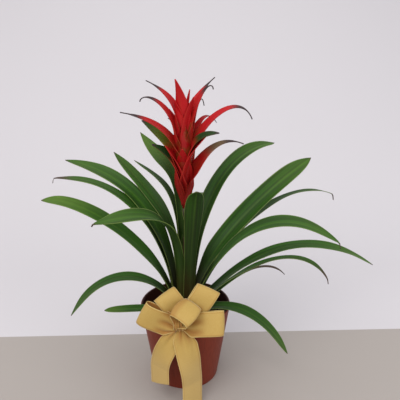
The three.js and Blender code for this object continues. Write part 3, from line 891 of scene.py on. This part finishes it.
@dataclass
class FlowerSpike:
    """The stalk with its clasping leaves, and the flower head on it."""

    stalk_radius: float = 4.6
    stalk_waist: float = 2.9
    stalk_foot: float = 102.0
    stalk_thick: float = 20.0
    stalk_slim: float = 75.0
    stalk_edge: float = 0.4
    stalk_over: float = 0.3
    stalk_sides: int = 32
    head_foot: float = 298.0
    head_top: float = 458.0
    core_radius: float = 3.0
    core_swell: float = 9.5
    core_power: float = 1.1
    core_rings: int = 24
    core_sides: int = 40
    root_radius: float = 3.6
    tone_turn: float = 0.618
    foot_share: float = 0.22
    widest: float = 0.34
    taper_from: float = 0.25
    arch: float = 22.0
    tip_half: float = 0.75
    thickness: float = 0.85
    wave: float = 0.35
    stations: int = 44
    strips: int = 8
    clasp_count: int = 5
    clasp_lowest: float = 130.0
    clasp_step: float = 30.0
    clasp_from: float = 40.0
    clasp_turn: float = 137.5
    clasp_length: float = 62.0
    clasp_width: float = 9.0
    clasp_reach: float = 6.4
    clasp_fall: float = 86.0
    clasp_tone: float = 0.3
    bracts: list[Blade] = field(default_factory=lambda: [
        Blade(263, 20, 396, 45, 35, 64, 33, root=303, shade=Shade.PLAIN),
        Blade(190, 48, 401, 48, 48, 24, 32, root=305, roll=-40, shade=Shade.DARK),
        Blade(350, 90, 402, 25, 61, -23, 32, root=309, roll=42, shade=Shade.TIPPED),
        Blade(72, 72, 404, 40, 50, 0, 25, root=312, shade=Shade.GREEN),
        Blade(210, 31, 400, 40, 40, 50, 34, root=314, roll=-35, shade=Shade.PLAIN),
        Blade(172, 63, 434, 58, 65, 32, 33, root=322, roll=-42, shade=Shade.GREEN),
        Blade(328, 60, 421, 62, 48, 2, 30, root=318, roll=35, shade=Shade.DARK),
        Blade(322, 41, 415, 49, 42, 40, 35, root=316, roll=35, shade=Shade.PLAIN),
        Blade(112, 66, 430, 45, 55, 5, 24, root=340),
        Blade(352, 101, 438, 79, 55, -68, 21, root=345, roll=40),
        Blade(200, 94, 451, 30, 88, 11, 26, root=343, roll=-35),
        Blade(278, 20, 495, 85, 44, 68, 33, root=336, sway=-42, shade=Shade.PLAIN),
        Blade(36, 64, 426, 20, 56, -52, 17, root=360, roll=20),
        Blade(195, 64, 464, 100, 18, -80, 24, root=365, roll=-40),
        Blade(125, 38, 448, 45, 40, 45, 20, root=368, shade=Shade.PLAIN),
        Blade(318, 20, 470, 40, 35, 66, 20, root=372, shade=Shade.PLAIN),
        Blade(50, 50, 452, 47, 38, -80, 20, root=378, roll=20),
        Blade(350, 44, 480, 70, 22, -85, 23, root=386, roll=45),
        Blade(175, 54, 492, 45, 50, 24, 20, root=395, roll=-30),
        Blade(30, 55, 495, 31, 58, 34, 19, root=398, roll=20),
        Blade(102, 32, 474, 35, 35, 50, 18, root=404, shade=Shade.PLAIN),
        Blade(215, 16, 466, 42, 30, 66, 16, root=402, shade=Shade.PLAIN),
        Blade(330, 11, 480, 30, 25, 78, 11, root=408, shade=Shade.PLAIN),
    ])

    def bract(self, maker: BladeMaker, bract: Blade, root_radius: float, tone: float) -> None:
        """Add a bract: narrow at its root, widest at a third of its length, then drawn out.

        Args:
            maker: What adds it.
            bract: Its driving sizes.
            root_radius: Its distance from the axis at the root.
            tone: Its own tone.
        """
        end, power = TAPERS.get(bract.shade, (1.0, 2.2))

        def half_width(share: float, _: float) -> float:
            """Return the half width there."""
            swell = mix(self.foot_share, 1.0, smooth(share, 0, self.widest))
            tapered = max(0.0, min(share, end) - self.taper_from) / (end - self.taper_from)
            return bract.width / 2 * swell * (1 - tapered ** power) + self.tip_half

        def curl(share: float, _: float) -> float:
            """Return the radius of the arch there."""
            return mix(root_radius + 5, self.arch, smooth(share, 0, 0.5))

        arc = Arc(bract, root_radius, bract.root)
        maker.add(bract, arc, half_width, curl, tone, self.stations, self.strips, self.wave)

    def head(self, material: bpy.types.Material) -> bpy.types.Object:
        """Return the bracts, as one object."""
        mesh = bmesh.new()
        maker = BladeMaker(mesh, (0.0, 0.4))
        for index, bract in enumerate(self.bracts):
            self.bract(maker, bract, self.root_radius, (index * self.tone_turn) % 1.0)
        piece = finished(mesh, "flower_bracts", material)
        thicken(piece, self.thickness)
        return piece

    def core(self, material: bpy.types.Material) -> bpy.types.Object:
        """Return the spindle of packed bract feet under the bracts."""
        profile = [(0.0, self.head_foot)]
        for ring in range(self.core_rings):
            climb = ring / self.core_rings
            swell = self.core_swell * math.sin(math.pi * climb) ** self.core_power
            radius = self.core_radius * math.sqrt(1 - climb) + swell
            profile.append((radius, mix(self.head_foot, self.head_top, climb)))
        profile.append((0.0, self.head_top))
        return finished(lathe(profile, self.core_sides), "flower_core", material)

    def stalk(self, material: bpy.types.Material) -> bpy.types.Object:
        """Return the stalk, which is thickest in the rosette."""
        thick, slim, edge = self.stalk_radius, self.stalk_waist, self.stalk_edge
        foot, top = self.stalk_foot, self.head_foot + self.stalk_over
        profile = [(0, foot), (thick - edge, foot), (thick, foot + edge), (thick, foot + self.stalk_thick)]
        profile += [(slim, foot + self.stalk_slim), (slim, top - edge), (slim - edge, top), (0, top)]
        return finished(lathe(profile, self.stalk_sides), "stalk", material)

    def clasps(self, material: bpy.types.Material) -> bpy.types.Object:
        """Return the small leaves that clasp the stalk, as one object."""
        mesh = bmesh.new()
        maker = BladeMaker(mesh)
        for index in range(self.clasp_count):
            root = self.clasp_lowest + index * self.clasp_step
            tip = min(root + self.clasp_length, self.head_foot - 3)
            third = self.clasp_length / 3
            azimuth = self.clasp_from + index * self.clasp_turn
            leaf = Blade(azimuth, self.clasp_reach, tip, third, third, self.clasp_fall, self.clasp_width,
                         root=root)
            self.bract(maker, leaf, self.stalk_waist, self.clasp_tone)
        piece = finished(mesh, "stalk_leaves", material)
        thicken(piece, self.thickness)
        return piece

    def build(self, leafy: bpy.types.Material) -> None:
        """Make the spike's pieces and seat them.

        Args:
            leafy: The finish of the leaves that clasp the stalk.
        """
        red = BractFinish().material()
        settle(self.head(red), "bract", "flower_head")
        settle(self.core(red), "bract")
        settle(self.stalk(StalkFinish().material()), "stem", "flower_stem")
        settle(self.clasps(leafy), "stem")


@dataclass
class Planter:
    """The pot and the soil in it."""

    height: float = 132.0
    rim: float = 75.0
    base: float = 54.5
    wall: float = 3.5
    floor: float = 5.0
    edge: float = 1.2
    soil_top: float = 112.0
    heap: float = 3.0
    heap_slope: tuple[float, float] = (24.0, 68.0)
    lump_scale: float = 0.11
    lump_share: float = 1.6
    grit_scale: float = 0.3
    lump_height: float = 0.9
    lump_drop: float = 0.6
    gap: float = 0.3
    levels: tuple[float, ...] = (20.0, 60.0, 100.0, 126.0)
    pot_sides: int = 144
    soil_sides: int = 120
    soil_rings: int = 30
    crumbs: int = 420
    crumbs_from: float = 26.0
    crumbs_over: float = 40.0

    def outside(self, height: float) -> float:
        """Return the pot's outer radius at a height."""
        return self.base + (self.rim - self.base) * height / self.height

    def pot(self, material: bpy.types.Material) -> bpy.types.Object:
        """Return the pot, with its rim and foot rounded."""
        edge, half = self.edge, self.wall / 2
        profile = [(0.0, 0.0), (self.base - edge, 0.0)]
        for step in range(1, 5):
            turn = math.pi / 2 * step / 4
            profile.append((self.base - edge * (1 - math.sin(turn)), edge * (1 - math.cos(turn))))
        profile += [(self.outside(z), z) for z in self.levels]
        middle = self.outside(self.height) - 0.5 - half
        for step in range(9):
            turn = math.pi * step / 8
            profile.append((middle + half * math.cos(turn), self.height - half + half * math.sin(turn)))
        profile += [(self.outside(z) - self.wall, z) for z in (*reversed(self.levels), self.floor)]
        profile.append((0.0, self.floor))
        return finished(lathe(profile, self.pot_sides), "planter", material)

    def ground(self, x: float, y: float) -> float:
        """Return the height of the soil's surface."""
        share = 1 - smooth(math.hypot(x, y), *self.heap_slope)
        lumps = noise.noise(Vector((x, y, 3.0)) * self.lump_scale) * self.lump_share
        lumps += noise.noise(Vector((x, y, 9.0)) * self.grit_scale)
        return self.soil_top + self.heap * share + lumps * self.lump_height - self.lump_drop

    def soil(self, material: bpy.types.Material) -> bpy.types.Object:
        """Return the soil, with a crumbly surface."""
        foot, rings = self.floor + self.gap, self.soil_rings
        side = [(self.outside(z) - self.wall - self.gap, z) for z in (foot, 60.0, self.soil_top - 3)]
        top = [(side[-1][0] * (1 - step / rings) + 0.25, self.soil_top) for step in range(rings)]
        mesh = lathe([(0.0, foot), *side, *top, (0.0, self.soil_top)], self.soil_sides)
        for vert in mesh.verts:
            if vert.co.z > self.soil_top - 1:
                vert.co.z = self.ground(vert.co.x, vert.co.y)
        return finished(mesh, "soil_bed", material)

    def grains(self, material: bpy.types.Material) -> bpy.types.Object:
        """Return loose crumbs of peat and bark on the soil's surface, as one object."""
        mesh = bmesh.new()
        for index in range(self.crumbs):
            turn = index * GOLDEN_TURN
            out = self.crumbs_from + self.crumbs_over * math.sqrt((index + 0.5) / self.crumbs)
            x, y = out * math.cos(turn), out * math.sin(turn)
            seed = noise.cell_vector(Vector((index * 1.7, 3.3, 8.1)))
            size = 0.8 + 1.5 * abs(seed.x)
            made = bmesh.ops.create_icosphere(mesh, subdivisions=1, radius=size)
            place = Matrix.Translation((x, y, self.ground(x, y) + size * 0.25))
            turned = Matrix.Rotation(seed.y * 3, 4, "Z") @ Matrix.Rotation(seed.z * 2, 4, "X")
            flat = Matrix.Diagonal((1.3, 0.8 + 0.4 * abs(seed.y), 0.6, 1))
            bmesh.ops.transform(mesh, matrix=place @ turned @ flat, verts=made["verts"])
        return finished(mesh, "soil_crumbs", material)

    def build(self) -> None:
        """Make the pot and the soil and seat them."""
        settle(self.pot(PotFinish().material()), "pot", "pot")
        material = SoilFinish().material()
        settle(self.soil(material), "soil", "soil")
        settle(self.grains(material), "soil")


@dataclass(frozen=True)
class Loop:
    """A loop of the bow, in the bow's own frame.

    Attributes:
        root: Where it leaves the waist.
        fold: The middle of its far end.
        across: The direction of the ribbon's width.
        height: How far it stands open.
        dome: How far its edges sink at the fold.
        inside: How deep its lower half lies in shade, from 0 to 1.
    """

    root: tuple[float, float]
    fold: tuple[float, float, float]
    across: tuple[float, float, float]
    height: float
    dome: float = 1.0
    inside: float = 0.1


@dataclass(frozen=True)
class Tail:
    """A tail of the bow.

    Attributes:
        shift: How far it hangs to the side.
        end: The height of its end.
        twist: How far it twists on its way down, in degrees.
        bulge: How far it bulges forwards.
        swing: How far its end swings back.
        slant: How far its cut end slopes.
    """

    shift: float
    end: float
    twist: float
    bulge: float
    swing: float
    slant: float


@dataclass
class RibbonBow:
    """The ribbon bow: five loops, a pinched waist and two tails.

    Its plane leans back over the pot, and a gathered band goes round the waist.
    """

    width: float = 36.5
    thickness: float = 0.5
    waist_width: float = 13.0
    pinch: float = 0.28
    x: float = -7.0
    y: float = -88.0
    z: float = 147.0
    lean: float = 32.0
    knot: float = 8.5
    knot_half: float = 9.0
    loop_creases: float = 7.5
    tail_creases: float = 8.0
    knot_creases: float = 13.0
    loop_crease: float = 2.6
    tail_crease: float = 2.4
    crown: float = 1.5
    strips: int = 16
    loop_steps: int = 96
    tail_steps: int = 80
    knot_steps: int = 48
    loops: list[Loop] = field(default_factory=lambda: [
        Loop((6, 4), (-26, 44, 4), (-0.81, -0.58, 0.12), 15),
        Loop((-6, -9), (-59, 18, 8), (-0.46, -0.76, -0.46), 15, inside=0.85),
        Loop((8, 0), (43, 51, 5), (-0.91, 0.41, 0.12), 16),
        Loop((0, -3), (64.5, -1, 5), (0.03, 1, 0.1), 17),
        Loop((4, 2), (8, 19, 29), (-0.6, -0.68, 0.42), 35, dome=4, inside=0.45),
    ])
    tails: list[Tail] = field(default_factory=lambda: [
        Tail(-34, 38, -38, 5, 3, -11),
        Tail(16.5, 4, 34, 8, -9, 0),
    ])

    def seat(self) -> Matrix:
        """Return the bow's frame: x to the right, y up in its plane, z towards the front."""
        lean = math.radians(self.lean)
        right = Vector((1, 0, 0))
        up = Vector((0, math.sin(lean), math.cos(lean)))
        front = Vector((0, -math.cos(lean), math.sin(lean)))
        turn = Matrix((right, up, front)).transposed().to_4x4()
        return Matrix.Translation((self.x, self.y, self.z)) @ turn

    def loop_place(self, loop: Loop, across: float, share: float) -> Vector:
        """Return a point of a loop's cloth.

        Args:
            loop: The loop.
            across: The place across the ribbon, from -1 to 1.
            share: The share of its length, out over the top and back underneath.

        Returns:
            The point, in the bow's frame.
        """
        root, fold = Vector((*loop.root, 0.0)), Vector(loop.fold)
        out = (fold - root).normalized()
        side = Vector(loop.across).normalized()
        up = out.cross(side).normalized()
        turn = math.pi * (2 * share - 1)
        cosine = max(0.0, math.cos(turn / 2))
        reach = cosine ** 0.8
        opened = -math.sin(turn) * cosine ** 0.5 * loop.height / 2 * 1.2
        sunk = loop.dome * across * across * reach
        half = mix(self.waist_width, self.width, smooth(reach, 0, self.pinch)) / 2
        gather = (1 - smooth(reach, 0.1, 0.6)) * smooth(reach, 0.0, 0.08)
        fall = self.loop_crease * gather * math.cos(across * self.loop_creases + fold.x)
        span = reach * (fold - root).length - sunk
        rise = opened + fall + math.sin(turn) * sunk
        return root + out * span + side * across * half + up * rise

    def tail_place(self, tail: Tail, across: float, share: float) -> Vector:
        """Return a point of a tail's cloth.

        Args:
            tail: The tail.
            across: The place across the ribbon, from -1 to 1.
            share: The share of its length, from the waist down.

        Returns:
            The point, in the part's frame.
        """
        height = mix(self.z - 3, tail.end, share)
        middle = self.x + tail.shift * math.sin(math.pi / 2 * min(1.0, share * 1.3))
        forward = self.y - tail.bulge * math.sin(math.pi * min(1.0, share * 1.4)) + tail.swing * share
        half = mix(self.waist_width, self.width, smooth(share, 0, 0.2)) / 2
        twist = math.radians(tail.twist) * smooth(share, 0.1, 0.6)
        wave = math.cos(across * self.tail_creases + tail.shift)
        pleat = self.tail_crease * (1 - smooth(share, 0.05, 0.4)) * wave
        drop = tail.slant * across / 2 * smooth(share, 0.85, 1)
        crown = self.crown * (1 - across * across)
        return Vector((
            middle + across * half * math.cos(twist),
            forward + across * half * math.sin(twist) - crown - pleat,
            height - drop,
        ))

    def loop_shade(self, loop: Loop, across: float, share: float) -> float:
        """Return how much painted shade a point of a loop gets, in its folds and on its inner half, from 0
        to 1.
        """
        reach = math.cos(math.pi * (share - 0.5)) ** 2
        pleat = 0.5 - 0.5 * math.cos(across * self.loop_creases + loop.fold[0])
        gathered_shade = (1 - smooth(reach, 0.02, 0.3)) * (0.15 + 0.6 * pleat)
        return min(1.0, gathered_shade + loop.inside * smooth(share, 0.53, 0.6))

    def tail_shade(self, across: float, share: float) -> float:
        """Return how much painted shade a point of a tail gets in its folds near the waist, from 0 to 1."""
        return (1 - smooth(share, 0.04, 0.25)) * (0.5 - 0.4 * math.cos(across * self.tail_creases))

    def wrap_shade(self, across: float, _: float) -> float:
        """Return how much painted shade a point of the band gets in its folds, from 0 to 1."""
        return 0.5 - 0.4 * math.cos(across * self.knot_creases)

    def wrap_place(self, across: float, share: float) -> Vector:
        """Return a point of the gathered band round the waist, in the bow's frame."""
        turn = 2 * math.pi * share
        crease = math.cos(across * self.knot_creases + 2 * math.sin(turn))
        radius = self.knot * (1 + 0.16 * crease) * (1 - 0.3 * across * across)
        up, front = radius * math.cos(turn), radius * math.sin(turn) * 1.3
        return Vector((across * self.knot_half - 2, up - 2, front + 5))

    def strip(
        self,
        mesh: bmesh.types.BMesh,
        place: Callable[[float, float], Vector],
        depth: Callable[[float, float], float],
        seat: Matrix,
        steps: int,
    ) -> float:
        """Add a length of ribbon.

        Args:
            mesh: The bmesh to add to.
            place: The point for a place across, from -1 to 1, and a share of the length.
            depth: How much painted shade it gets there in the folds, from 0 to 1.
            seat: What turns the points into the part's frame.
            steps: How many steps it has along.

        Returns:
            The length of its middle line.
        """
        layer = mesh.verts.layers.float_vector["weave"]
        fold_shade_layer = mesh.verts.layers.float_vector["gather"]
        marks = [0.0]
        for step in range(steps):
            before, after = (seat @ place(0.0, (step + k) / steps) for k in (0, 1))
            marks.append(marks[-1] + (after - before).length)
        made = bmesh.ops.create_grid(mesh, x_segments=self.strips, y_segments=steps, size=1.0)
        for vert in made["verts"]:
            across, share = vert.co.x, (vert.co.y + 1) / 2
            mark = marks[min(steps, round(share * steps))]
            vert.co = seat @ place(across, share)
            vert[layer] = Vector((across * self.width / 2 * METRE, mark * METRE, abs(across)))
            vert[fold_shade_layer] = Vector((depth(across, share), 0, 0))
        return marks[-1]

    def build(self) -> None:
        """Make the bow, seat it and give the wire its finish."""
        mesh = bmesh.new()
        mesh.verts.layers.float_vector.new("weave")
        mesh.verts.layers.float_vector.new("gather")
        seat = self.seat()
        length = 0.0
        for loop in self.loops:
            place = partial(self.loop_place, loop)
            depth = partial(self.loop_shade, loop)
            length += self.strip(mesh, place, depth, seat, self.loop_steps)
        for tail in self.tails:
            place = partial(self.tail_place, tail)
            length += self.strip(mesh, place, self.tail_shade, Matrix(), self.tail_steps)
        length += self.strip(mesh, self.wrap_place, self.wrap_shade, seat, self.knot_steps)
        piece = finished(mesh, "gift_ribbon", RibbonFinish().material())
        thicken(piece, self.thickness)
        settle(piece, "ribbon", "ribbon_bow")
        LOG.info("ribbon: %.0f mm long", length)
        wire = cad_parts["bow_wire"]
        wire.data.materials.clear()
        wire.data.materials.append(WireFinish().material())


@dataclass(frozen=True)
class Lamp:
    """A soft area light: its place and side in metres, its power in watts and its colour."""

    name: str
    place: tuple[float, float, float]
    side: float
    power: float
    tint: Colour


@dataclass
class Studio:
    """The camera, the floor, the backdrop and the lights, in metres."""

    eye: tuple[float, float, float] = (0.0, -0.684, 0.532)
    pitch: float = 17.9
    yaw: float = 2.05
    focal_pixels: float = 460.0
    frame_pixels: float = 400.0
    sensor: float = 36.0
    floor_start: float = -3.0
    floor_end: float = 0.104
    back_end: float = 4.0
    half_width: float = 4.0
    climb_from: float = 0.4
    climb: float = 2.5
    floor_paint: Colour = linear(170, 162, 156)
    back_paint: Colour = linear(210, 206, 209)
    aim: tuple[float, float, float] = (0.0, 0.0, 0.25)
    lamps: tuple[Lamp, ...] = (
        Lamp("key", (-1.1, -1.9, 2.3), 2.2, 53.0, (1.0, 0.98, 0.96)),
        Lamp("fill", (1.6, -1.4, 0.9), 1.4, 12.0, (0.95, 0.97, 1.0)),
        Lamp("top", (0.2, 0.6, 2.4), 2.2, 12.0, (1.0, 1.0, 1.0)),
    )
    sky: Colour = (0.92, 0.92, 0.95)
    sky_strength: float = 0.68

    def camera(self) -> None:
        """Place the camera."""
        data = bpy.data.cameras.new("camera")
        data.sensor_width = self.sensor
        data.lens = self.sensor * self.focal_pixels / self.frame_pixels
        eye = bpy.data.objects.new("camera", data)
        eye.location = self.eye
        eye.rotation_euler = (math.radians(90 - self.pitch), 0, math.radians(-self.yaw))
        bpy.context.scene.collection.objects.link(eye)
        bpy.context.scene.camera = eye

    def floor(self) -> None:
        """Lay the pale floor and the backdrop, which starts behind the part and climbs slowly."""
        for name, near, far, paint, rise in (
            ("floor", self.floor_start, self.floor_end, self.floor_paint, 0.0),
            ("backdrop", self.floor_end, self.back_end, self.back_paint, self.climb),
        ):
            mesh = bmesh.new()
            made = bmesh.ops.create_grid(mesh, x_segments=2, y_segments=60, size=1.0)
            for vert in made["verts"]:
                y = mix(near, far, (vert.co.y + 1) / 2)
                height = smooth(y, self.climb_from, self.back_end) * rise
                vert.co = Vector((vert.co.x * self.half_width, y, height)) / METRE
            piece = finished(mesh, name, StageFinish(name, paint).material())

    def lights(self) -> None:
        """Light the scene softly, mostly from above and in front."""
        for lamp in self.lamps:
            data = bpy.data.lights.new(lamp.name, "AREA")
            data.size = lamp.side
            data.energy = lamp.power
            data.color = lamp.tint
            light = bpy.data.objects.new(lamp.name, data)
            light.location = lamp.place
            toward = Vector(self.aim) - Vector(lamp.place)
            light.rotation_euler = toward.to_track_quat("-Z", "Y").to_euler()
            bpy.context.scene.collection.objects.link(light)
        world = bpy.data.worlds.new("world")
        world.use_nodes = True
        background = world.node_tree.nodes["Background"]
        background.inputs["Color"].default_value = (*self.sky, 1)
        background.inputs["Strength"].default_value = self.sky_strength
        bpy.context.scene.world = world

    def build(self) -> None:
        """Set up the whole studio."""
        bpy.context.scene.view_settings.view_transform = "Standard"
        self.camera()
        self.floor()
        self.lights()


def main() -> None:
    """Build the studio and the part's looks."""
    logging.basicConfig(level=logging.INFO, format="%(name)s: %(message)s")
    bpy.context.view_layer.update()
    Studio().build()
    Planter().build()
    leafy = LeafFinish().material()
    Rosette().build(leafy)
    FlowerSpike().build(leafy)
    RibbonBow().build()


if __name__ == "__main__":
    main()
